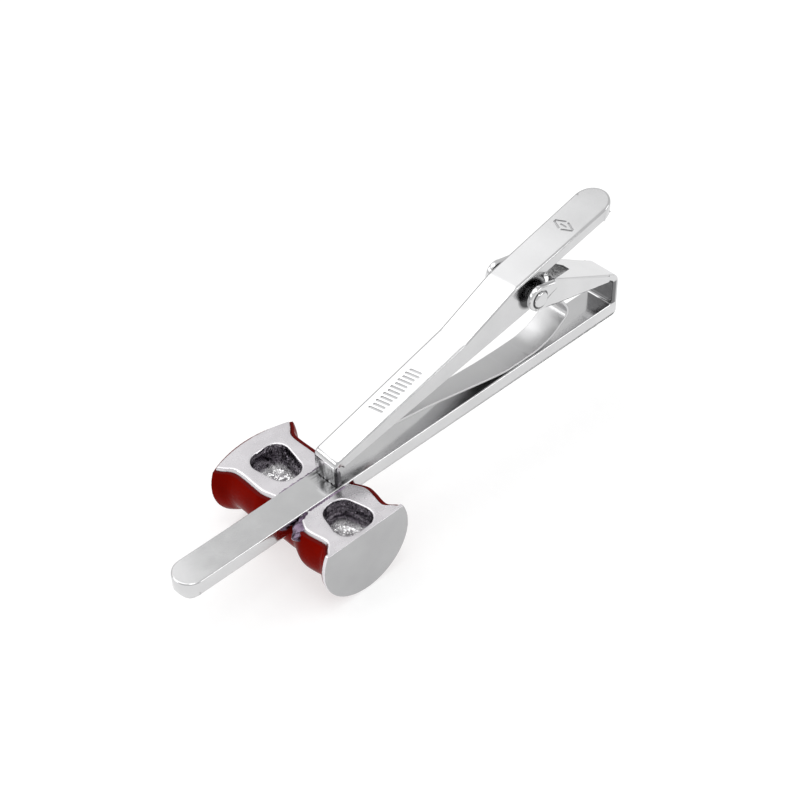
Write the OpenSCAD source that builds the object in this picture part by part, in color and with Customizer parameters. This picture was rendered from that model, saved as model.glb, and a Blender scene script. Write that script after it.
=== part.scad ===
// Hinged, spring-loaded tie bar with a spool-shaped enamelled ornament.
// Origin: middle of the bite line, where the jaw of the lever meets the back of the bar.
// +X runs along the bar towards the folded hinge end, +Y across it towards the domed end
// of the ornament, +Z out of the back of the bar. All sizes are in millimetres.

/* [Front bar] */
// Width of the bar
bar_w = 3.7; // [3.3:0.1:4.4]
// Thickness of the bar
bar_t = 2.0; // [1.6:0.1:2.6]
// Length from the bite line to the rounded free end
free_len = 19.2; // [15:0.2:26]
// Length from the bite line to the outer face of the hinge end
hinge_len = 40.8; // [36:0.2:49]
// Rounding of the long edges on the front of the bar
front_edge_r = 0.6; // [0.2:0.1:0.8]

/* [Folded hinge arm] */
// Thickness of the flattened and folded metal
fold_t = 0.8; // [0.5:0.05:1]
// Height of the end wall above the back of the bar, to the sharp corner of the fold
wall_h = 3.6; // [3:0.1:4.5]
// Slope of the arm that returns over the bar
arm_slope = 29.5; // [24:0.5:33]
// Outer radius of the fold between the end wall and the arm
fold_r = 1.4; // [1:0.1:1.8]
// Length of the bridge that joins the two cheeks, measured along the bar
bridge_len = 11.6; // [10.5:0.1:12.5]
// Depth of the notch in the free end of the bridge
notch_len = 4.8; // [3:0.2:7]
// Width of the mouth of the notch
notch_w = 3.6; // [2:0.1:4]
// Width of the inner end of the notch
notch_end_w = 0.6; // [0.4:0.1:2]
// Width across the outside of the two ears
ear_span = 6.6; // [6:0.1:7.5]
// Thickness of each cheek
cheek_t = 0.7; // [0.5:0.05:0.8]
// Height of the lower edge of the cheeks at the end wall
cheek_low = 3.3; // [2.6:0.1:3.6]
// Radius of the eye round the pivot
eye_r = 1.4; // [1.2:0.05:1.6]

/* [Pivot pin] */
// Distance from the outer face of the hinge end back to the pivot
pivot_back = 14.2; // [13.8:0.1:14.8]
// Height of the pivot above the back of the bar
pivot_h = 9.3; // [8.8:0.1:9.8]
// Diameter of the pin
pin_d = 1.2; // [0.8:0.05:1.4]
// Radial play of the lever on the pin
pin_play = 0.05; // [0.02:0.01:0.09]
// Diameter of the riveted heads
head_d = 1.8; // [1.5:0.1:2.2]
// Height of the riveted heads
head_h = 0.3; // [0.15:0.05:0.5]

/* [Clamp lever] */
// Thickness of the pressed sheet
sheet_t = 0.6; // [0.4:0.05:0.8]
// Width of the lever at the jaw
jaw_w = 3.3; // [2.9:0.1:3.6]
// Width of the lever at the thumb end
tail_w = 4.2; // [3.8:0.1:4.6]
// Height of the top of the lever over the bar at the jaw
jaw_h = 3.0; // [2.6:0.1:3.4]
// Slope of the jaw section
jaw_slope = 15.4; // [14:0.2:17]
// Distance from the bite line to the first bend
jaw_len = 17.4; // [15:0.2:18]
// Distance from the first bend to the second bend
ramp_len = 7.0; // [6:0.2:8]
// Slope of the ramp between the bends
ramp_slope = 24.6; // [22:0.2:27]
// Distance from the second bend to the tip of the thumb end
tail_len = 15.1; // [13:0.2:19]
// Slope of the thumb end
tail_slope = 13.6; // [12:0.2:17]
// Outer radius of the two bends
bend_r = 3.0; // [1:0.2:4]
// Depth of the flanges along the thumb end
tail_depth = 1.35; // [1.2:0.05:1.5]
// Height of the lower edge of the flanges at the jaw
flange_low = 1.95; // [1.6:0.05:2.2]
// Radius of the lugs round the pivot
lug_r = 2.2; // [2:0.05:2.3]
// Gap between the teeth of the closed jaw and the bar
bite_gap = 0.05; // [0.02:0.01:0.3]
// Number of notches that form the teeth
notch_count = 4; // [3:1:6]
// Pitch of the teeth
tooth_pitch = 0.62; // [0.5:0.02:0.7]

/* [Bow spring] */
// Thickness of the spring strip
spring_t = 0.3; // [0.2:0.02:0.36]
// Width of the strip at the hinge end
spring_w = 3.2; // [2.6:0.1:3.6]
// Width of the strip where it lies inside the lever
spring_tip_w = 1.8; // [1.2:0.1:1.9]
// Gap between the spring and each surface that it bears on
spring_gap = 0.05; // [0.03:0.01:0.1]

/* [Ornament] */
// Distance from the bite line to the axis of the ornament, towards the free end
axis_back = 2.05; // [0.5:0.1:6]
// Depth of the axis of the ornament below the back of the bar
axis_drop = 2.65; // [2.2:0.05:3.2]
// Depth of the flat back of the ornament below the back of the bar
back_drop = 0.2; // [0.1:0.05:0.4]
// Distance from the bar's centre to the flat bare end
flat_end = 7.85; // [7.2:0.05:9]
// Distance from the bar's centre to the rim of the domed end
dome_rim = 9.1; // [8:0.05:9.8]
// Height of the dome over its rim
dome_h = 1.4; // [1.1:0.1:2.4]
// Radius of the flat bare end
flat_r = 5.5; // [5.3:0.05:6]
// Radius of the rim of the domed end
dome_r = 5.7; // [5.6:0.05:6.4]
// Radius of the waist under the bar
waist_r = 4.3; // [4.1:0.05:4.5]
// Half length of the straight part of the waist
waist_half = 1.8; // [1.2:0.1:2.2]
// Radius of the raised bead on the side of the flat end
bead_r = 4.95; // [4.8:0.05:5.2]
// Radius of the raised bead on the side of the domed end
dome_bead_r = 4.65; // [4.5:0.05:5]
// Distance from the bar's centre to each bead
bead_y = 3.5; // [3.2:0.1:3.8]
// Radius of the cove between each bead and the end
cove_r = 4.65; // [4.5:0.05:4.8]
// Thickness of the bare rim of the flat end
rim_t = 0.45; // [0.3:0.05:0.8]
// Thickness of the enamel
enamel_t = 0.35; // [0.2:0.05:0.5]
// Height of the bare edge left between the enamel and the flat back
enamel_drop = 0.3; // [0.1:0.05:0.6]
// Depth of the two pockets in the back
pocket_depth = 3.2; // [1.5:0.1:3.6]
// Wall left between the pocket and the flat end
flat_wall = 0.5; // [0.5:0.05:1]
// Wall left between the pocket and the rim of the domed end
dome_wall = 1.2; // [0.6:0.05:1.6]
// Wall left between each pocket and the bar
pocket_land = 0.75; // [0.5:0.05:1.2]
// Width of each pocket at its outer end
pocket_w = 4.4; // [3.4:0.1:4.6]
// Size of the solder fillet along the bar
fillet = 0.35; // [0.2:0.05:0.5]

/* [Hidden] */
$fn = 64;
eps = 0.01;
far = 100;

silver = [0.80, 0.80, 0.82];
bright_silver = [0.88, 0.88, 0.90];
spring_grey = [0.66, 0.67, 0.70];
deep_red = [0.45, 0.06, 0.03];
solder_grey = [0.50, 0.47, 0.55];

// Corner of an outline rounded to radius r between its neighbours a and c
arc_steps = 10;
function unit(v) = v / norm(v);
function rounded(a, b, c, r, steps = arc_steps) =
    let (u = unit(a - b), w = unit(c - b), half = acos(u * w) / 2,
         reach = r / tan(half), centre = b + unit(u + w) * r / sin(half),
         p = b + u * reach - centre, q = b + w * reach - centre,
         turn = acos((p * q) / (r * r)), side = sign(cross(p, q)))
    [for (i = [0:steps])
        let (s = side * turn * i / steps)
        centre + [p[0] * cos(s) - p[1] * sin(s), p[0] * sin(s) + p[1] * cos(s)]];

// An outline in X and Z, made solid across the whole width
module across(width) {
    translate([0, width / 2, 0]) rotate([90, 0, 0]) linear_extrude(width) children();
}

// ---- front bar and hinge arm ----
pivot = [hinge_len - pivot_back, pivot_h];
arm_rise = tan(arm_slope);
bridge_x = hinge_len - bridge_len;
notch_x = bridge_x + notch_len;
arm_under = fold_t / cos(arm_slope);
inner_wall_x = hinge_len - fold_t;
fold_inner_r = fold_r - fold_t;
end_corner_r = 1.0;
wall_foot_r = 0.4;
eye_tilt = 70;
ear_inner = ear_span / 2 - cheek_t;
flare_start = hinge_len - 1.6;
free_centre = bar_w / 2 - free_len;

function arm_top(x) = wall_h + (hinge_len - x) * arm_rise;

module bar_plan() {
    translate([free_centre, 0]) circle(bar_w / 2);
    translate([free_centre, -bar_w / 2]) square([hinge_len - free_centre, bar_w]);
}

module bar_section() {
    polygon(concat(
        [[-bar_w / 2, 0]],
        rounded([-bar_w / 2, 0], [-bar_w / 2, -bar_t], [bar_w / 2, -bar_t], front_edge_r),
        rounded([-bar_w / 2, -bar_t], [bar_w / 2, -bar_t], [bar_w / 2, 0], front_edge_r),
        [[bar_w / 2, 0]]));
}

module bar_side() {
    polygon(concat(
        [[-free_len, 0]],
        rounded([-free_len, 0], [-free_len, -bar_t], [0, -bar_t], front_edge_r),
        rounded([0, -bar_t], [hinge_len, -bar_t], [hinge_len, 0], end_corner_r),
        [[hinge_len, 0]]));
}

module arm_side() {
    wall_foot = [inner_wall_x, -bar_t / 2];
    inner_corner = [inner_wall_x, arm_top(inner_wall_x) - arm_under];
    outer_corner = [hinge_len, wall_h];
    bridge_top = [bridge_x, arm_top(bridge_x)];
    bridge_low = [bridge_x, arm_top(bridge_x) - arm_under];
    polygon(concat(
        [wall_foot, [hinge_len, -bar_t / 2]],
        rounded([hinge_len, 0], outer_corner, bridge_top, fold_r),
        [bridge_top, bridge_low],
        rounded(bridge_low, inner_corner, wall_foot, fold_inner_r)));
}

module wall_foot_fillet() {
    difference() {
        translate([inner_wall_x - wall_foot_r, -eps])
            square([wall_foot_r + eps, wall_foot_r + eps]);
        translate([inner_wall_x - wall_foot_r, wall_foot_r]) circle(wall_foot_r);
    }
}

module arm_plan() {
    polygon([[hinge_len, -bar_w / 2], [hinge_len, bar_w / 2], [flare_start, bar_w / 2],
             [bridge_x, ear_span / 2], [bridge_x - far, ear_span / 2],
             [bridge_x - far, -ear_span / 2], [bridge_x, -ear_span / 2],
             [flare_start, -bar_w / 2]]);
}

// Ground between the two cheeks, which the cheeks wrap round
module between_cheeks_plan() {
    polygon([[flare_start, -bar_w / 2 + cheek_t], [flare_start, bar_w / 2 - cheek_t],
             [bridge_x, ear_inner], [bridge_x - far, ear_inner],
             [bridge_x - far, -ear_inner], [bridge_x, -ear_inner]]);
}

module notch_plan() {
    polygon([[bridge_x - eps, -notch_w / 2], [notch_x, -notch_end_w / 2],
             [notch_x, notch_end_w / 2], [bridge_x - eps, notch_w / 2]]);
}

module cheek_side() {
    eye_top = pivot + eye_r * [cos(eye_tilt), sin(eye_tilt)];
    eye_foot = pivot - eye_r * [cos(eye_tilt), sin(eye_tilt)];
    translate(pivot) circle(eye_r);
    polygon([eye_top, [bridge_x, arm_top(bridge_x)], [flare_start, arm_top(flare_start)],
             [flare_start, cheek_low], eye_foot]);
}

module front_bar() color(silver) {
    difference() {
        union() {
            intersection() {
                translate([0, 0, -bar_t]) linear_extrude(bar_t) bar_plan();
                translate([-free_len, 0, 0]) rotate([90, 0, 90])
                    linear_extrude(free_len + hinge_len) bar_section();
                across(bar_w) bar_side();
            }
            intersection() {
                across(ear_span) arm_side();
                translate([0, 0, -bar_t]) linear_extrude(far) arm_plan();
            }
            across(bar_w) wall_foot_fillet();
            difference() {
                intersection() {
                    across(ear_span) cheek_side();
                    linear_extrude(far) arm_plan();
                }
                linear_extrude(far) between_cheeks_plan();
            }
        }
        linear_extrude(far) notch_plan();
        translate([pivot[0], 0, pivot[1]]) rotate([90, 0, 0])
            cylinder(d = pin_d, h = far, center = true);
    }
}

// ---- pivot pin ----
module pivot_pin() color(bright_silver) {
    half = ear_span / 2;
    head_end = half + head_h;
    head_edge = head_d / 2;
    head_round = head_h * 0.9;
    translate([pivot[0], 0, pivot[1]]) rotate([-90, 0, 0]) rotate_extrude()
        polygon(concat(
            [[0, -head_end]],
            rounded([0, -head_end], [head_edge, -head_end], [head_edge, -half], head_round),
            [[head_edge, -half], [pin_d / 2, -half], [pin_d / 2, half], [head_edge, half]],
            rounded([head_edge, half], [head_edge, head_end], [0, head_end], head_round),
            [[0, head_end]]));
}

// ---- clamp lever ----
lip_half = sheet_t / 2;
jaw_x = -lip_half;
bend_1 = [jaw_len, jaw_h + (jaw_len - jaw_x) * tan(jaw_slope)];
bend_2 = bend_1 + ramp_len * [1, tan(ramp_slope)];
tail_tip = bend_2 + tail_len * [1, tan(tail_slope)];
web_drop = sheet_t * 1.04;
lip_bend_r = 0.9;
relief_r = 0.3;
tooth_cut = 0.25;
toe_r = 0.7;
toe = pivot + [2.3, -1.1];
lug_top_angle = 30;
toe_start_angle = 0;
lug_foot_angle = -100;
lug_top = pivot + lug_r * [cos(lug_top_angle), sin(lug_top_angle)];
web_points = 3 * (arc_steps + 1) + 1;

function tail_top(x) = bend_2[1] + (x - bend_2[0]) * tan(tail_slope);
function lever_half(x) = jaw_w / 2 + (tail_w - jaw_w) / 2 * (x - jaw_x) / (tail_tip[0] - jaw_x);

// Top line of the lever, lowered by drop
function web_line(drop) = concat(
    rounded([jaw_x, 0], [jaw_x, jaw_h], bend_1, lip_bend_r),
    rounded([jaw_x, jaw_h], bend_1, bend_2, bend_r),
    rounded(bend_1, bend_2, tail_tip, bend_r),
    [tail_tip]) - [for (i = [1:web_points]) [0, drop]];

// Lugs round the pivot, with a toe at the lower corner that the spring bears on
function lug_edge() = concat(
    [for (a = [lug_top_angle:-10:toe_start_angle]) pivot + lug_r * [cos(a), sin(a)]],
    [for (a = [60:-15:-90]) toe + toe_r * [cos(a), sin(a)]],
    [pivot + lug_r * [cos(lug_foot_angle), sin(lug_foot_angle)]]);

module lever_side() {
    polygon(concat(
        [[jaw_x, bite_gap]],
        web_line(0),
        [tail_tip - [0, tail_depth], [lug_top[0], tail_top(lug_top[0]) - tail_depth]],
        lug_edge(),
        [[lip_half, flange_low], [lip_half, bite_gap]]));
}

module lever_plan(inset) {
    tip_half = tail_w / 2 - inset;
    tip_x = tail_tip[0] - tail_w / 2;
    start_x = jaw_x + (inset > 0 ? sheet_t : 0);
    polygon([[start_x, -lever_half(start_x) + inset], [tip_x, -tip_half],
             [tip_x, tip_half], [start_x, lever_half(start_x) - inset]]);
    translate([tip_x, 0]) circle(tip_half);
}

module lever_hollow() {
    linear_extrude(far) lever_plan(sheet_t);
}

module teeth_cuts() {
    for (i = [0:notch_count - 1])
        translate([0, (i - (notch_count - 1) / 2) * tooth_pitch, bite_gap]) rotate([45, 0, 0])
            cube([2 * sheet_t + eps, tooth_cut, tooth_cut], center = true);
}

module corner_reliefs() {
    for (side = [-1, 1])
        translate([lip_half + relief_r / 2, side * lever_half(0), jaw_h - sheet_t - relief_r])
            rotate([90, 0, 0]) cylinder(r = relief_r, h = 2 * sheet_t, center = true);
}

module clamp_lever() color(bright_silver) {
    difference() {
        intersection() {
            across(tail_w) lever_side();
            linear_extrude(far) lever_plan(0);
        }
        intersection() {
            across(tail_w) polygon(concat([[lip_half, -eps]], web_line(web_drop),
                                          [[tail_tip[0], -eps]]));
            lever_hollow();
        }
        translate([pivot[0], 0, pivot[1]]) rotate([90, 0, 0])
            cylinder(r = pin_d / 2 + pin_play, h = far, center = true);
        teeth_cuts();
        corner_reliefs();
    }
}

// ---- bow spring ----
half_strip = spring_t / 2;
strip_low = spring_gap + half_strip;
lip_end = toe + (toe_r + strip_low) * [cos(-45), sin(-45)];
kink = [hinge_len - 7.8, 2.95];
tip_x = 5.2;
tip_clearance = spring_gap + 0.04;
web_under = jaw_h + (tip_x - jaw_x) * tan(jaw_slope) - web_drop;
tip = [tip_x, web_under - tip_clearance - half_strip];
foot_x = pivot[0] + 0.3;

// Centre line of the strip, from its tip inside the lever to the kink in the hinge
bow_points = [tip, tip + [1.5, -0.85], tip + [4.1, -1.35], [foot_x - 9.1, 1.03],
              [foot_x - 4.6, 0.38], [foot_x - 2.4, strip_low], [foot_x, strip_low],
              [kink[0] - 4.5, 0.28], [kink[0] - 2.7, 0.8], [kink[0] - 1.2, 1.7], kink];
lip_points = [kink + [-1.2, 2.1], lip_end];
strip_steps = 6;

function blend_point(p, i, t) =
    let (n = len(p) - 1, a = p[max(i - 1, 0)], b = p[i], c = p[i + 1], d = p[min(i + 2, n)])
    0.5 * (2 * b + (c - a) * t + (2 * a - 5 * b + 4 * c - d) * t * t
           + (3 * b - a - 3 * c + d) * t * t * t);
function smooth_line(p, steps) = concat(
    [for (i = [0:len(p) - 2], s = [0:steps - 1]) blend_point(p, i, s / steps)],
    [p[len(p) - 1]]);
function side_step(p, i) =
    let (d = unit(p[min(i + 1, len(p) - 1)] - p[max(i - 1, 0)])) [-d[1], d[0]];
function strip_outline(p) = concat(
    [for (i = [0:len(p) - 1]) p[i] + side_step(p, i) * half_strip],
    [for (i = [len(p) - 1:-1:0]) p[i] - side_step(p, i) * half_strip]);

module spring_plan() {
    taper_start = foot_x - 3;
    taper_end = foot_x - 14;
    polygon([[tip_x - 1, -spring_tip_w / 2], [taper_end, -spring_tip_w / 2],
             [taper_start, -spring_w / 2], [hinge_len, -spring_w / 2],
             [hinge_len, spring_w / 2], [taper_start, spring_w / 2],
             [taper_end, spring_tip_w / 2], [tip_x - 1, spring_tip_w / 2]]);
}

module bow_spring() color(spring_grey) {
    intersection() {
        across(spring_w)
            polygon(strip_outline(smooth_line(concat(bow_points, lip_points), strip_steps)));
        linear_extrude(far) spring_plan();
    }
}

// ---- ornament ----
flare_steps = 4;
dome_steps = 12;
bead_rise = 0.7;
bead_fall = 0.9;
cove_share = 0.68;
flat_flare = flat_end - rim_t;
dome_bend = (dome_r * dome_r + dome_h * dome_h) / (2 * dome_h);
dome_angle = asin(dome_r / dome_bend);
pocket_r = 1.5;
pocket_draft = 0.5;
pocket_taper = 0.45;
seam_margin = 0.3;

// Stations of the turned outline from the waist to a rim: distance along the axis and radius
function stations(reach, rim, bead) =
    let (cove_y = bead_y + (reach - bead_y) * cove_share)
    [[waist_half / 2, waist_r], [waist_half, waist_r],
     [bead_y - bead_rise, (waist_r + 2 * bead) / 3], [bead_y, bead],
     [bead_y + bead_fall, (4 * bead + cove_r) / 5], [cove_y, cove_r],
     [(cove_y + 2 * reach) / 3, (cove_r + 2 * rim) / 3], [reach, rim]];
function half_outline(reach, rim, bead, skin) =
    [for (p = smooth_line(stations(reach, rim, bead), flare_steps)) [p[1] - skin, p[0]]];
function reversed(p) = [for (i = [len(p) - 1:-1:0]) p[i]];
function side_points(skin) = concat(
    [for (p = reversed(half_outline(flat_flare, flat_r, bead_r, skin))) [p[0], -p[1]]],
    half_outline(dome_rim, dome_r, dome_bead_r, skin));
function dome_points(skin) =
    [for (i = [1:dome_steps])
        let (a = dome_angle * (1 - i / dome_steps), scale_r = (dome_r - skin) / dome_r)
        [dome_bend * sin(a) * scale_r,
         dome_rim + (dome_h - skin) * (cos(a) - cos(dome_angle)) / (1 - cos(dome_angle))]];

module spool(points) {
    translate([-axis_back, 0, -axis_drop]) rotate([-90, 0, 0]) rotate_extrude($fn = 96)
        polygon(points);
}

module below(level) {
    translate([-far / 2, -far / 2, -far - level]) cube([far, far, far]);
}

// Room that the bar takes out of the waist
module bar_groove() {
    translate([-far / 2, 0, 0]) rotate([90, 0, 90]) linear_extrude(far) bar_section();
}

module pocket_corner(x, y) {
    translate([x, y, -back_drop - pocket_depth])
        cylinder(r1 = pocket_r - pocket_draft, r2 = pocket_r + eps,
                 h = pocket_depth + eps, $fn = 32);
}

module pocket(reach) {
    inner_y = bar_w / 2 + pocket_land + pocket_r;
    outer_y = reach - pocket_r;
    inner_x = pocket_w / 2 - pocket_taper - pocket_r;
    outer_x = pocket_w / 2 - pocket_r;
    hull() {
        pocket_corner(-axis_back - inner_x, inner_y);
        pocket_corner(-axis_back + inner_x, inner_y);
        pocket_corner(-axis_back - outer_x, outer_y);
        pocket_corner(-axis_back + outer_x, outer_y);
    }
}

module ornament_casting() color(silver) {
    difference() {
        intersection() {
            spool(concat([[0, -flat_end], [flat_r, -flat_end], [flat_r, -flat_flare]],
                         side_points(enamel_t), dome_points(enamel_t)));
            below(back_drop);
        }
        bar_groove();
        pocket(dome_rim - dome_wall);
        mirror([0, 1, 0]) pocket(flat_end - flat_wall);
    }
}

module ornament_enamel() color(deep_red) {
    difference() {
        intersection() {
            spool(concat([[0, -flat_flare]], side_points(0), dome_points(0)));
            below(back_drop + enamel_drop);
        }
        spool(concat([[0, -flat_end]], side_points(enamel_t), dome_points(enamel_t)));
        bar_groove();
    }
}

// Run of solder in the corner between one long edge of the bar and the casting
module solder_seam(side) color(solder_grey) {
    waist_chord = sqrt(pow(waist_r - enamel_t, 2) - pow(axis_drop - back_drop, 2));
    seam_half = waist_chord - seam_margin;
    translate([-axis_back - seam_half, 0, 0]) rotate([90, 0, 90]) linear_extrude(2 * seam_half)
        polygon([[side * bar_w / 2, -back_drop], [side * (bar_w / 2 + fillet), -back_drop],
                 [side * bar_w / 2, 0]]);
}

module near_solder() solder_seam(-1);
module far_solder() solder_seam(1);

front_bar();
clamp_lever();
pivot_pin();
bow_spring();
ornament_casting();
ornament_enamel();
near_solder();
far_solder();
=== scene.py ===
import math

import bmesh
import bpy
from mathutils import Matrix, Vector, noise


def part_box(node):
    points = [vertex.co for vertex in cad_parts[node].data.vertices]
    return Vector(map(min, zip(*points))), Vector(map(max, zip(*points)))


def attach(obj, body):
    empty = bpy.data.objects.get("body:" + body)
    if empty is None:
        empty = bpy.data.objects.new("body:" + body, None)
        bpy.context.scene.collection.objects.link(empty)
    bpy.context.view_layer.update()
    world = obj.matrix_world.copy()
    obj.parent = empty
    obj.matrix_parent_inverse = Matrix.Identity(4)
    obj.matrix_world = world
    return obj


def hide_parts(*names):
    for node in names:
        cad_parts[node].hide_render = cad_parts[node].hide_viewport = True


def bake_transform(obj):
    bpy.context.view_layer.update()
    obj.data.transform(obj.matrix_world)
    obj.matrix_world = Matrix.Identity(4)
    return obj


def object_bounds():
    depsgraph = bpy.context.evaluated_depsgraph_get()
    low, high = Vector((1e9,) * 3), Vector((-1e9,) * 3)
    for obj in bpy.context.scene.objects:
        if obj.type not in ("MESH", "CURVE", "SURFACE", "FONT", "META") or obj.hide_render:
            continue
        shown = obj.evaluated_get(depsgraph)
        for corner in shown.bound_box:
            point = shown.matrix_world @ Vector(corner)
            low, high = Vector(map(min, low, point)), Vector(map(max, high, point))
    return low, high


MM = 0.001

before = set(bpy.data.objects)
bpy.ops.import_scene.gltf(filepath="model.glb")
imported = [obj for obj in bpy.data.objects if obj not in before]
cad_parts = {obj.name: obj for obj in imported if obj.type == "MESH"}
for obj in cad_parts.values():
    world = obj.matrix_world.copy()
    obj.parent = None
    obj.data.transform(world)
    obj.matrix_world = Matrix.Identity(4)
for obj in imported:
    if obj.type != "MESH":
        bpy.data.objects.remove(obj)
cad_low, cad_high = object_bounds()

bar_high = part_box("front_bar")[1]
pin_low, pin_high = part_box("pivot_pin")
casting_low, casting_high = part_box("ornament_casting")
lever_low, lever_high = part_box("clamp_lever")
spring_low, spring_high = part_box("bow_spring")
solder_low, solder_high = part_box("near_solder")
enamel_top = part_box("ornament_enamel")[1].z

pivot = (pin_low + pin_high) / 2
bar_half = -solder_high.y
back_z = solder_low.z

# Sizes that the frame's boxes don't give, as the part's source has them.
POCKET_DEPTH = 3.2 * MM
WALL_T = 0.8 * MM
FLARE_START = 1.6 * MM
BRIDGE_LEN = 11.6 * MM
JAW_SLOPE = math.radians(15.4)
TAIL_SLOPE = math.radians(13.6)
LEVER_TOP_OVER_JAW = 3.0 * MM

pocket_floor_z = back_z - POCKET_DEPTH

# How far the worn edges are rounded.
FOLD_RADIUS = 0.6 * MM
BAR_EDGE = 0.2 * MM
PIN_EDGE = 0.05 * MM
LEVER_TOP_EDGE = 0.3 * MM
LEVER_EDGE = 0.1 * MM
SPRING_EDGE = 0.07 * MM

# Cells of the remeshed pieces.
CASTING_CELL = 0.075 * MM
ENAMEL_CELL = 0.07 * MM
SOLDER_CELL = 0.05 * MM

BLACK = (0.02, 0.02, 0.022, 1)


# ---------------------------------------------------------------- materials
def link(tree, out, into):
    tree.links.new(out, into)


def new_material(name):
    """A node material: its tree, its principled shader and its object coordinates in metres."""
    material = bpy.data.materials.new(name)
    material.use_nodes = True
    tree = material.node_tree
    shader = tree.nodes["Principled BSDF"]
    place = tree.nodes.new("ShaderNodeTexCoord").outputs["Object"]
    return material, tree, shader, place


def stretched(tree, place, scale):
    mapping = tree.nodes.new("ShaderNodeMapping")
    mapping.inputs["Scale"].default_value = scale
    link(tree, place, mapping.inputs["Vector"])
    return mapping.outputs["Vector"]


def noise_value(tree, place, scale, detail=3.0, rough=0.5):
    texture = tree.nodes.new("ShaderNodeTexNoise")
    texture.inputs["Scale"].default_value = scale
    texture.inputs["Detail"].default_value = detail
    texture.inputs["Roughness"].default_value = rough
    link(tree, place, texture.inputs["Vector"])
    return texture.outputs["Fac"]


def ramp(tree, value, low, high, start, end):
    """value from low to high becomes start to end; numbers or colours."""
    if isinstance(start, tuple):
        node = tree.nodes.new("ShaderNodeMix")
        node.data_type = "RGBA"
        factor = ramp(tree, value, low, high, 0.0, 1.0)
        link(tree, factor, node.inputs["Factor"])
        node.inputs["A"].default_value = (*start, 1)
        node.inputs["B"].default_value = (*end, 1)
        return node.outputs["Result"]
    node = tree.nodes.new("ShaderNodeMapRange")
    node.inputs["From Min"].default_value = low
    node.inputs["From Max"].default_value = high
    node.inputs["To Min"].default_value = start
    node.inputs["To Max"].default_value = end
    link(tree, value, node.inputs["Value"])
    return node.outputs["Result"]


def bumps(tree, shader, layers):
    """Stacks bump maps: (height, strength, distance in metres), finest last."""
    normal = None
    for height, strength, distance in layers:
        node = tree.nodes.new("ShaderNodeBump")
        node.inputs["Strength"].default_value = strength
        node.inputs["Distance"].default_value = distance
        link(tree, height, node.inputs["Height"])
        if normal is not None:
            link(tree, normal, node.inputs["Normal"])
        normal = node.outputs["Normal"]
    link(tree, normal, shader.inputs["Normal"])


def product(tree, *values):
    """All the values multiplied together."""
    result = values[0]
    for value in values[1:]:
        node = tree.nodes.new("ShaderNodeMath")
        node.operation = "MULTIPLY"
        link(tree, result, node.inputs[0])
        link(tree, value, node.inputs[1])
        result = node.outputs["Value"]
    return result


def axes(tree, place):
    """The X, Y and Z of a point as separate values."""
    split = tree.nodes.new("ShaderNodeSeparateXYZ")
    link(tree, place, split.inputs["Vector"])
    return split.outputs["X"], split.outputs["Y"], split.outputs["Z"]


def from_pivot(tree, place):
    """Distance from the axis of the pin."""
    mapping = tree.nodes.new("ShaderNodeMapping")
    mapping.inputs["Location"].default_value = (-pivot.x, 0, -pivot.z)
    mapping.inputs["Scale"].default_value = (1, 0, 1)
    link(tree, place, mapping.inputs["Vector"])
    length = tree.nodes.new("ShaderNodeVectorMath")
    length.operation = "LENGTH"
    link(tree, mapping.outputs["Vector"], length.inputs[0])
    return length.outputs["Value"]


def darkened(tree, shader, amount):
    """Turns the base colour towards black by amount: used for painted shade in gaps, folds and on edges,
    for a painted dark rim on the enamel, and for dark joints.
    """
    colour = shader.inputs["Base Color"].links[0].from_socket
    mix = tree.nodes.new("ShaderNodeMix")
    mix.data_type = "RGBA"
    link(tree, amount, mix.inputs["Factor"])
    link(tree, colour, mix.inputs["A"])
    mix.inputs["B"].default_value = BLACK
    link(tree, mix.outputs["Result"], shader.inputs["Base Color"])


def metal(name, dark, light, rough, wave, scratch, grain_axis=(60, 2600, 600), corners=()):
    """Worn metal: cloudy colour, patchy roughness, slow waviness and hair scratches along the grain."""
    material, tree, shader, place = new_material(name)
    shader.inputs["Metallic"].default_value = 1.0
    cloud = noise_value(tree, place, 260, 4)
    link(tree, ramp(tree, cloud, 0.3, 0.7, dark, light), shader.inputs["Base Color"])
    # Each mask in corners darkens the base colour: painted shade in gaps, folds and on edges, and the dark
    # joint at the pin head.
    for corner in corners:
        darkened(tree, shader, corner(tree, place))
    patches = noise_value(tree, place, 520, 5, 0.6)
    link(tree, ramp(tree, patches, 0.3, 0.7, *rough), shader.inputs["Roughness"])
    slow = noise_value(tree, place, 150, 1)
    hair = noise_value(tree, stretched(tree, place, grain_axis), 6, 4, 0.7)
    bumps(tree, shader, [(slow, wave, 0.0006), (hair, scratch, 0.00003)])
    return material


def ring_round_head(tree, place):
    """Broken dark line where the riveted head meets the ear."""
    reach = from_pivot(tree, place)
    grains = ramp(tree, noise_value(tree, place, 900, 2), 0.40, 0.55, 0.25, 0.95)
    inner = ramp(tree, reach, 0.86 * MM, 0.92 * MM, 0.0, 1.0)
    outer = ramp(tree, reach, 1.02 * MM, 1.12 * MM, 1.0, 0.0)
    return product(tree, inner, outer, grains)


def lip_shade_on_bar(tree, place):
    """Painted shade and dark reflection of the jaw, in streaks on the bar's back just outside the jaw."""
    x, _, z = axes(tree, place)
    lines = noise_value(tree, stretched(tree, place, (500, 2600, 500)), 1, 3)
    streaks = ramp(tree, lines, 0.36, 0.6, 0.1, 0.85)
    return product(
        tree,
        streaks,
        ramp(tree, x, -1.5 * MM, -0.6 * MM, 0.0, 1.0),
        ramp(tree, x, 0.6 * MM, 1.5 * MM, 1.0, 0.0),
        ramp(tree, z, -0.2 * MM, -0.1 * MM, 0.0, 1.0),
    )


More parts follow.
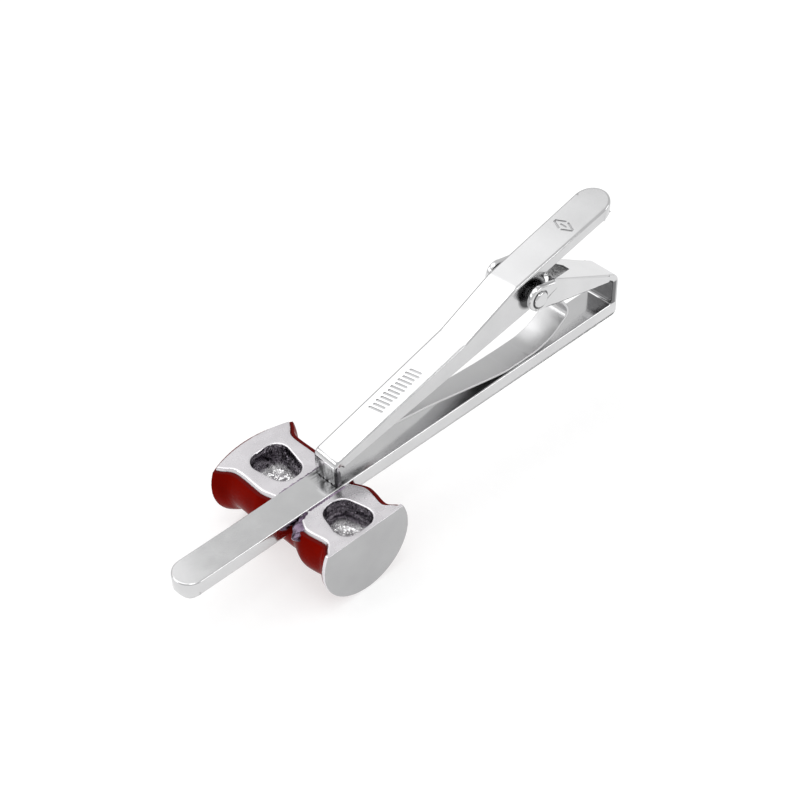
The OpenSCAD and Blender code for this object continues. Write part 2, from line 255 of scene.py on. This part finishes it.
def fold_corner_shade(tree, place):
    """Painted shade in the corner where the end wall, its foot and the arm meet."""
    x, _, z = axes(tree, place)
    wall_x = bar_high.x - WALL_T
    behind = ramp(tree, x, bar_high.x - 0.25 * MM, bar_high.x - 0.45 * MM, 0.0, 1.0)
    near_wall = ramp(tree, x, wall_x - 0.9 * MM, wall_x - 0.1 * MM, 0.0, 0.75)
    above_bar = ramp(tree, z, 0.02 * MM, 0.1 * MM, 0.0, 1.0)
    below_arm = ramp(tree, z, 3.0 * MM, 3.2 * MM, 1.0, 0.0)
    return product(tree, behind, near_wall, above_bar, below_arm)


def joint_gap_shade(tree, place):
    """Painted shade on the lug beside the ears, in the narrow gaps where little light reaches."""
    reach = from_pivot(tree, place)
    return ramp(tree, reach, 1.55 * MM, 1.95 * MM, 0.93, 0.0)


def far_side_edge_shade(tree, place):
    """Painted shade on the lever's edges that turn away to the far side and round the thumb end, set by
    the way they face.
    """
    normal = tree.nodes.new("ShaderNodeTexCoord").outputs["Normal"]
    x, y, z = axes(tree, normal)
    far_side = ramp(tree, y, 0.2, 0.5, 0.0, 1.0)
    upward = ramp(tree, z, 0.05, 0.25, 0.0, 0.5)
    return product(tree, far_side, upward)


def lip_front_shade(tree, place):
    """Painted dark reflection, in streaks on the front of the jaw lip below its bend."""
    x, _, z = axes(tree, place)
    lines = noise_value(tree, stretched(tree, place, (500, 2200, 500)), 1, 3)
    streaks = ramp(tree, lines, 0.4, 0.6, 0.25, 0.9)
    return product(
        tree,
        streaks,
        ramp(tree, x, 0.5 * MM, 0.9 * MM, 1.0, 0.0),
        ramp(tree, z, 1.9 * MM, 2.3 * MM, 1.0, 0.0),
    )


def polished_silver():
    return metal(
        "polished_silver", (0.61, 0.61, 0.615), (0.66, 0.66, 0.665), (0.11, 0.16), 0.04, 0.06,
        corners=(ring_round_head, lip_shade_on_bar, fold_corner_shade),
    )


def lever_silver():
    return metal(
        "lever_silver", (0.58, 0.58, 0.585), (0.63, 0.63, 0.635), (0.15, 0.21), 0.10, 0.06,
        corners=(joint_gap_shade, lip_front_shade, far_side_edge_shade),
    )


def stamped_groove_shade():
    """The floor and flanks of the stamped marks: a darker base colour that paints the shade in the
    grooves, and rougher from old polish.
    """
    return metal("stamped_groove_shade", (0.40, 0.40, 0.405), (0.50, 0.50, 0.505), (0.3, 0.4), 0.1, 0.1)


def pin_silver():
    return metal("pin_silver", (0.60, 0.60, 0.605), (0.66, 0.66, 0.665), (0.14, 0.20), 0.05, 0.06)


def satin_spring():
    return metal(
        "satin_spring", (0.56, 0.56, 0.565), (0.60, 0.60, 0.605), (0.30, 0.38), 0.02, 0.10,
        grain_axis=(60, 2600, 60),
    )


def cast_silver():
    return metal(
        "cast_silver", (0.70, 0.68, 0.705), (0.79, 0.77, 0.795), (0.22, 0.32), 0.12, 0.10,
        grain_axis=(1400, 1400, 1400),
    )


def end_polish_shaded():
    # A darker copy of the casting's silver for the end face: smoother polish, with painted shade in its
    # darker base colour.
    return metal("end_polish_shaded", (0.42, 0.42, 0.425), (0.46, 0.46, 0.465), (0.16, 0.24), 0.06, 0.06)


def pocket_cast():
    """As-cast skin in the pockets: dark and pitted on the walls, bright on the floor."""
    material, tree, shader, place = new_material("pocket_cast")
    shader.inputs["Metallic"].default_value = 1.0
    _, _, height = axes(tree, place)
    grain = noise_value(tree, place, 1500, 6, 0.7)
    streaks = noise_value(tree, stretched(tree, place, (300, 300, 1800)), 1, 4)
    depth = ramp(tree, height, pocket_floor_z + 0.25 * MM, pocket_floor_z + 0.9 * MM, 1.0, 0.0)
    wall = ramp(tree, streaks, 0.38, 0.62, (0.055, 0.045, 0.06), (0.36, 0.33, 0.37))
    mix = tree.nodes.new("ShaderNodeMix")
    mix.data_type = "RGBA"
    link(tree, depth, mix.inputs["Factor"])
    link(tree, wall, mix.inputs["A"])
    mix.inputs["B"].default_value = (1, 1, 1, 1)
    link(tree, mix.outputs["Result"], shader.inputs["Base Color"])
    link(tree, ramp(tree, grain, 0.3, 0.7, 0.16, 0.36), shader.inputs["Roughness"])
    bumps(tree, shader, [(noise_value(tree, place, 800, 3), 1.0, 0.0006), (grain, 0.6, 0.0001)])
    return material


def red_enamel():
    material, tree, shader, place = new_material("red_enamel")
    cloud = noise_value(tree, place, 400, 4)
    red = ramp(tree, cloud, 0.3, 0.7, (0.14, 0.0016, 0.0), (0.185, 0.0024, 0.0))
    link(tree, red, shader.inputs["Base Color"])
    _, _, height = axes(tree, place)
    # Painted dark rim: darker towards the enamel's top edge, standing in for its dark reflection.
    darkened(tree, shader, ramp(tree, height, enamel_top - 0.14 * MM, enamel_top - 0.02 * MM, 0.0, 0.3))
    patches = noise_value(tree, place, 900, 3)
    link(tree, ramp(tree, patches, 0.3, 0.7, 0.18, 0.28), shader.inputs["Roughness"])
    shader.inputs["Specular IOR Level"].default_value = 0.01
    slow = noise_value(tree, place, 220, 2)
    fine = noise_value(tree, place, 2500, 2)
    bumps(tree, shader, [(slow, 0.25, 0.0004), (fine, 0.05, 0.00003)])
    return material


def solder_and_seam_shade():
    # The solder's own purplish grey; its dark end also paints the shade in the seam between bar and
    # casting.
    return metal(
        "solder_and_seam_shade", (0.03, 0.015, 0.035), (0.34, 0.27, 0.36), (0.12, 0.30), 0.7, 0.5,
        grain_axis=(900, 900, 900),
    )


def floor_white():
    material, tree, shader, place = new_material("floor_white")
    paper = noise_value(tree, place, 900, 4)
    white = ramp(tree, paper, 0.3, 0.7, (0.44, 0.44, 0.44), (0.46, 0.46, 0.46))
    link(tree, white, shader.inputs["Base Color"])
    shader.inputs["Roughness"].default_value = 0.95
    shader.inputs["Specular IOR Level"].default_value = 0.0
    shader.inputs["Emission Color"].default_value = (1, 1, 1, 1)
    shader.inputs["Emission Strength"].default_value = 0.60
    return material


# ---------------------------------------------------------------- mesh helpers
def add_object(name, mesh):
    piece = bpy.data.objects.new(name, mesh)
    bpy.context.scene.collection.objects.link(piece)
    return piece


def from_node(node):
    """A loose copy of a CAD node's mesh with its split corners welded and its flats made whole."""
    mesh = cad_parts[node].data.copy()
    mesh.materials.clear()
    bm = bmesh.new()
    bm.from_mesh(mesh)
    bmesh.ops.remove_doubles(bm, verts=bm.verts, dist=0.002 * MM)
    bmesh.ops.dissolve_limit(bm, angle_limit=math.radians(0.4), verts=bm.verts, edges=bm.edges)
    bm.to_mesh(mesh)
    bm.free()
    return add_object(node + "_shape", mesh)


def apply_modifiers(piece):
    """Makes the evaluated shape the piece's own mesh."""
    dg = bpy.context.evaluated_depsgraph_get()
    mesh = bpy.data.meshes.new_from_object(piece.evaluated_get(dg))
    piece.modifiers.clear()
    old = piece.data
    piece.data = mesh
    bpy.data.meshes.remove(old)


def round_edges(piece, width, segments=3, angle=32, keep=None, only=None):
    """Rounds the creases sharper than angle, without those of keep(edge) or just those of only(edge)."""
    bm = bmesh.new()
    bm.from_mesh(piece.data)
    creases = [
        e for e in bm.edges
        if len(e.link_faces) == 2 and e.calc_face_angle(0) > math.radians(angle)
        and not (keep and keep(e)) and (only is None or only(e))
    ]
    bmesh.ops.bevel(bm, geom=creases, offset=width, offset_type="OFFSET", segments=segments,
                    profile=0.5, affect="EDGES", clamp_overlap=False)
    bmesh.ops.remove_doubles(bm, verts=bm.verts, dist=0.001 * MM)
    bm.to_mesh(piece.data)
    bm.free()


def smooth_shade(piece, angle=38):
    """Smooth faces with sharp creases kept, and normals that follow the large faces."""
    bm = bmesh.new()
    bm.from_mesh(piece.data)
    for face in bm.faces:
        face.smooth = True
    for edge in bm.edges:
        edge.smooth = len(edge.link_faces) == 2 and edge.calc_face_angle(0) < math.radians(angle)
    bm.to_mesh(piece.data)
    bm.free()
    weighted = piece.modifiers.new("weighted", "WEIGHTED_NORMAL")
    weighted.keep_sharp = True
    weighted.weight = 80


def remesh(piece, voxel, rounds, factor=0.5):
    """Even small faces all over, with edges worn soft."""
    cells = piece.modifiers.new("cells", "REMESH")
    cells.mode = "VOXEL"
    cells.voxel_size = voxel
    wear = piece.modifiers.new("wear", "SMOOTH")
    wear.factor = factor
    wear.iterations = rounds
    apply_modifiers(piece)
    for face in piece.data.polygons:
        face.use_smooth = True


def cut(piece, cutter):
    difference = piece.modifiers.new("cut", "BOOLEAN")
    difference.operation = "DIFFERENCE"
    difference.solver = "EXACT"
    difference.use_self = True
    difference.object = cutter
    apply_modifiers(piece)
    bpy.data.objects.remove(cutter)


def finish_piece(piece, name, body, node, slot_name, *materials):
    piece.name = name
    piece.data.name = name
    for material in materials:
        piece.data.materials.append(material)
    if body is not None:
        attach(piece, body)
    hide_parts(node)
    return piece


# ---------------------------------------------------------------- pieces
def round_fold_lines(bar):
    """The long folds between the arm and its two cheeks, which the press left with a wide radius."""
    bm = bmesh.new()
    bm.from_mesh(bar.data)
    folds = []
    for edge in bm.edges:
        a, b = edge.verts[0].co, edge.verts[1].co
        steep = abs((b - a).z) > 1 * MM and edge.calc_length() > 2 * MM
        level = 0.5 * (a.z + b.z) > pivot.z - 5 * MM and min(abs(a.y), abs(b.y)) > bar_half * 0.9
        outer = all(abs(abs(v.y) - arm_half(v.x)) < 0.05 * MM for v in (a, b))
        top = max(abs(a.y), abs(b.y)) > 2 * MM and edge.calc_face_angle(0) > math.radians(50)
        if steep and level and outer and top:
            folds.append(edge)
    bmesh.ops.bevel(bm, geom=folds, offset=FOLD_RADIUS, offset_type="OFFSET", segments=6,
                    profile=0.5, affect="EDGES", clamp_overlap=False)
    bm.to_mesh(bar.data)
    bm.free()


def arm_half(x):
    """Half width of the folded arm at x: the bar's at the end wall, widening to the ears."""
    start, end = bar_high.x - FLARE_START, bar_high.x - BRIDGE_LEN
    t = min(1, max(0, (start - x) / (start - end)))
    return bar_half + t * (bar_high.y - bar_half)


def make_bar():
    bar = from_node("front_bar")
    round_fold_lines(bar)
    round_edges(bar, BAR_EDGE)
    smooth_shade(bar)
    return finish_piece(
        bar, "bar_with_folded_arm", "bar", "front_bar", "polished_silver", polished_silver()
    )


def make_pin():
    pin = from_node("pivot_pin")
    round_edges(pin, PIN_EDGE, 2, 60)
    smooth_shade(pin, 50)
    return finish_piece(pin, "riveted_pin", "bar", "pivot_pin", "polished_silver", pin_silver())


def groove_cutter(places):
    """Small round-ended bars: (centre, direction, normal, length, width)."""
    bm = bmesh.new()
    for centre, along, normal, length, width in places:
        side = normal.cross(along)
        steps = 8
        outline = []
        for end in (1, -1):
            for i in range(steps + 1):
                a = math.pi * (i / steps - 0.5)
                outline.append(
                    centre + along * end * (length / 2 - width / 2 + math.cos(a) * width / 2)
                    + side * end * math.sin(a) * width / 2
                )
        top = [bm.verts.new(p + normal * width) for p in outline]
        low = [bm.verts.new(centre + (p - centre) * 0.85 - normal * 0.08 * MM) for p in outline]
        bm.faces.new(top)
        bm.faces.new(reversed(low))
        count = len(outline)
        for i in range(count):
            j = (i + 1) % count
            bm.faces.new((top[i], low[i], low[j], top[j]))
    bmesh.ops.recalc_face_normals(bm, faces=bm.faces)
    mesh = bpy.data.meshes.new("grooves")
    bm.to_mesh(mesh)
    bm.free()
    return add_object("grooves", mesh)


def on_outer_top(edge):
    """An outer edge of the lever's top, of its round end or of the side of its lip."""
    middle = (edge.verts[0].co + edge.verts[1].co) / 2
    lug_reach, lug_top = 3.5 * MM, 1.6 * MM
    relief_start, relief_end, relief_top = 0.1 * MM, 1 * MM, 2.5 * MM
    by_lug = abs(middle.x - pivot.x) < lug_reach and middle.z < pivot.z + lug_top
    by_relief = relief_start < middle.x < relief_end and middle.z < relief_top
    if by_lug or by_relief:
        return False
    normals = [face.normal for face in edge.link_faces]
    on_side = any(abs(n.z) < 0.3 and (abs(n.y) > 0.7 or n.x > 0.3) for n in normals)
    on_top = any(n.z > 0.5 or n.x < -0.5 for n in normals)
    return edge.calc_face_angle_signed(0) > 0 and on_side and on_top


def stamped_marks():
    """Plain ribs in a row on the jaw section and a plain lozenge across the thumb end."""
    across = Vector((0, 1, 0))
    jaw_along = Vector((math.cos(JAW_SLOPE), 0, math.sin(JAW_SLOPE)))
    jaw_up = Vector((-math.sin(JAW_SLOPE), 0, math.cos(JAW_SLOPE)))
    jaw_top = Vector((lever_low.x, 0, LEVER_TOP_OVER_JAW))
    rib_count, first_rib, rib_step = 12, 7.2, 0.52
    rib_length, every_other_shorter = 2.0, 0.3
    rib_slant, rib_width = 0.2, 0.32 * MM
    marks = []
    for i in range(rib_count):
        centre = jaw_top + jaw_along * (first_rib + rib_step * i) * MM
        length = (rib_length - every_other_shorter * (i % 2)) * MM
        along_rib = (across - jaw_along * rib_slant).normalized()
        marks.append((centre, along_rib, jaw_up, length, rib_width))
    tail_along = Vector((math.cos(TAIL_SLOPE), 0, math.sin(TAIL_SLOPE)))
    tail_up = Vector((-math.sin(TAIL_SLOPE), 0, math.cos(TAIL_SLOPE)))
    tail_tip = Vector((lever_high.x, 0, lever_high.z))
    half_length, half_width = 1.4 * MM, 0.62 * MM
    from_tip = 6.3
    middle = tail_tip - tail_along * from_tip * MM
    for a, b in ((1, 1), (1, -1), (-1, 1), (-1, -1)):
        side = (across * half_length * a + tail_along * half_width * b) / 2
        slant = across * half_length * a - tail_along * half_width * b
        marks.append((middle + side, slant.normalized(), tail_up, slant.length * 0.96, 0.26 * MM))
    marks.append((middle, across, tail_up, half_length * 0.7, 0.22 * MM))
    return marks


def make_lever():
    lever = from_node("clamp_lever")
    teeth_top = 0.7 * MM
    round_edges(lever, LEVER_TOP_EDGE, 5, only=on_outer_top)
    round_edges(lever, LEVER_EDGE, 2, 50, keep=lambda e: min(v.co.z for v in e.verts) < teeth_top)
    materials = [lever_silver(), stamped_groove_shade()]
    cutter = groove_cutter(stamped_marks())
    for piece in (lever, cutter):
        for material in materials:
            piece.data.materials.append(material)
    for face in cutter.data.polygons:
        face.material_index = 1
    cut(lever, cutter)
    smooth_shade(lever)
    return finish_piece(lever, "clamp_lever_pressing", "lever", "clamp_lever", "polished_silver")


def half_of(piece, name, cut_x, keep_right):
    """One side of a mesh cut at a plane across X, closed with a cap."""
    half = add_object(name, piece.data.copy())
    bm = bmesh.new()
    bm.from_mesh(half.data)
    geometry = list(bm.verts) + list(bm.edges) + list(bm.faces)
    found = bmesh.ops.bisect_plane(
        bm, geom=geometry, plane_co=(cut_x, 0, 0), plane_no=(1, 0, 0),
        clear_inner=keep_right, clear_outer=not keep_right,
    )
    edges = [e for e in found["geom_cut"] if isinstance(e, bmesh.types.BMEdge)]
    bmesh.ops.contextual_create(bm, geom=edges)
    bm.to_mesh(half.data)
    bm.free()
    return half


def make_spring():
    """Two arms of one strip, which meet where it bears on the bar."""
    strip = from_node("bow_spring")
    round_edges(strip, SPRING_EDGE, 2, 50)
    steel = satin_spring()
    foot_x = pivot.x + 0.3 * MM
    long_start = (foot_x - 2 * MM, 0, 0)
    long_end = (spring_low.x + 1 * MM, 0, 0)
    short_start = (spring_high.x, 0, 1.2 * MM)
    short_end = (pivot.x + 2.9 * MM, 0, pivot.z - 1.7 * MM)
    arms = [
        (False, "spring_long_arm", long_start, long_end),
        (True, "spring_short_arm", short_start, short_end),
    ]
    for right, name, start, end in arms:
        arm = half_of(strip, name, foot_x, right)
        smooth_shade(arm, 50)
        finish_piece(arm, name, None, "bow_spring", "spring_steel", steel)
        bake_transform(arm)
    bpy.data.objects.remove(strip)


def make_casting():
    casting = from_node("ornament_casting")
    remesh(casting, CASTING_CELL, 5)
    mesh = casting.data
    for material in (cast_silver(), pocket_cast(), end_polish_shaded()):
        mesh.materials.append(material)
    middle_x = (casting_low.x + casting_high.x) / 2
    pocket_half_width, web = 2.5 * MM, 0.5 * MM
    near_end, far_end = -7.5 * MM, 8.2 * MM
    under_floor, below_back = 0.15 * MM, 0.12 * MM
    pocket = set()
    for face in mesh.polygons:
        c, n = face.center.copy(), face.normal.copy()
        # Faces toward -Y on the end get the darker end silver: painted shade by the way they face.
        if c.y < casting_low.y + 0.1 * MM and n.y < -0.5:
            face.material_index = 2
        in_width = abs(c.x - middle_x) < pocket_half_width
        in_length = bar_half + web < abs(c.y) and near_end < c.y < far_end
        in_depth = pocket_floor_z - under_floor < c.z < back_z - below_back
        if in_width and in_length and in_depth:
            face.material_index = 1
            pocket.update(face.vertices)
    normals = {i: mesh.vertices[i].normal.copy() for i in pocket}
    for i, normal in normals.items():
        p = mesh.vertices[i].co / MM
        rough = noise.noise(p * 2.2) * 0.06 + noise.noise(p * 5.5) * 0.06
        mesh.vertices[i].co += normal * rough * MM
    return finish_piece(casting, "ornament_casting_body", "bar", "ornament_casting", "cast_silver")


def make_enamel():
    enamel = from_node("ornament_enamel")
    remesh(enamel, ENAMEL_CELL, 6)
    return finish_piece(enamel, "enamel_skin", "bar", "ornament_enamel", "red_enamel", red_enamel())


def make_solder(node, name, side, lumps):
    """A run of solder that pooled unevenly in the corner: overlapping drops, merged and softened.

    A lump is (place, size, out, drop): a share of the run, then mm in size, outward and downward.
    """
    low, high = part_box(node)
    bm = bmesh.new()
    for along, size, out, drop in lumps:
        centre = Vector((
            low.x + (high.x - low.x) * along,
            side * (bar_half + out * MM),
            back_z - drop * MM,
        ))
        ball = bmesh.ops.create_icosphere(bm, subdivisions=3, radius=1.0)
        for v in ball["verts"]:
            wobble = 1 + 0.3 * noise.noise(v.co * 1.7 + Vector((along * 9, side * 3, 0)))
            v.co = centre + Vector((v.co.x * size * 1.4, v.co.y * size, v.co.z * size * 0.8)) * wobble * MM
    mesh = bpy.data.meshes.new(name)
    bm.to_mesh(mesh)
    bm.free()
    seam = add_object(name, mesh)
    remesh(seam, SOLDER_CELL, 4)
    return finish_piece(seam, name, "bar", node, "solder", solder_and_seam_shade())


# ---------------------------------------------------------------- stage, light and camera
def make_floor():
    bm = bmesh.new()
    bmesh.ops.create_grid(bm, x_segments=8, y_segments=8, size=2.0)
    mesh = bpy.data.meshes.new("floor")
    bm.to_mesh(mesh)
    bm.free()
    floor = add_object("floor", mesh)
    floor.location.z = cad_low.z - 0.02 * MM
    floor.data.materials.append(floor_white())


def direction(azimuth, elevation):
    a, e = math.radians(azimuth), math.radians(elevation)
    return Vector((math.cos(e) * math.cos(a), math.cos(e) * math.sin(a), math.sin(e)))


def softbox(name, azimuth, elevation, distance, width, height, power):
    """A rectangular light aimed at the origin, in degrees, metres and watts."""
    light = bpy.data.lights.new(name, "AREA")
    light.shape = "RECTANGLE"
    light.size = width
    light.size_y = height
    light.energy = power
    lamp = bpy.data.objects.new(name, light)
    bpy.context.scene.collection.objects.link(lamp)
    lamp.location = direction(azimuth, elevation) * distance
    lamp.rotation_euler = (-lamp.location).to_track_quat("-Z", "Y").to_euler()


def make_light():
    world = bpy.data.worlds.new("studio")
    bpy.context.scene.world = world
    world.use_nodes = True
    background = world.node_tree.nodes["Background"]
    background.inputs["Color"].default_value = (1, 1, 1, 1)
    background.inputs["Strength"].default_value = 0.78
    softbox("overhead", 112, 62, 0.7, 0.46, 0.46, 0.62)
    softbox("tail_light", 80, 56, 0.72, 0.34, 0.34, 0.24)
    softbox("near_strip", 306, 33, 0.7, 0.5, 0.16, 0.7)
    softbox("end_strip", 141, 30, 0.7, 0.4, 0.16, 0.6)
    softbox("pocket_light", 228, 82, 0.6, 0.16, 0.16, 0.35)
    bpy.context.scene.view_settings.view_transform = "Standard"


def make_camera():
    """The viewing angle of the picture: azimuth and elevation of the line of sight, then a small roll."""
    azimuth, elevation, roll = 47.725, 42.724, -1.664
    distance, target = 183.7 * MM, Vector((12.87, 3.24, 0)) * MM
    sight = -direction(azimuth + 180, elevation)
    right = sight.cross(Vector((0, 0, 1))).normalized()
    up = right.cross(sight)
    r = math.radians(roll)
    right, up = right * math.cos(r) + up * math.sin(r), up * math.cos(r) - right * math.sin(r)
    turn = Matrix((right, up, -sight)).transposed().to_4x4()
    camera = bpy.data.objects.new("camera", bpy.data.cameras.new("camera"))
    bpy.context.scene.collection.objects.link(camera)
    camera.matrix_world = Matrix.Translation(target - sight * distance) @ turn
    camera.data.lens = 80
    camera.data.sensor_width = 36
    camera.data.clip_start = 0.01
    camera.data.clip_end = 20
    bpy.context.scene.camera = camera


make_bar()
make_pin()
make_lever()
make_spring()
make_casting()
make_enamel()
near_pool = [
    (-0.24, 0.74, 1.15, 0.95),
    (-0.16, 0.7, 1.1, 0.62),
    (-0.17, 0.6, 0.6, 0.55),
    (-0.06, 0.34, 0.3, 0.2),
    (0.03, 0.22, 0.12, 0.05),
]
near_thread = [(0.16 + 0.06 * i, 0.13, 0.06, 0) for i in range(14)]
far_thread = [(0.04 + 0.06 * i, 0.10 + 0.03 * (i % 3), 0.04, 0) for i in range(16)]
make_solder("near_solder", "near_solder_run", -1, near_pool + near_thread)
make_solder("far_solder", "far_solder_run", 1, far_thread)
make_floor()
make_light()
make_camera()
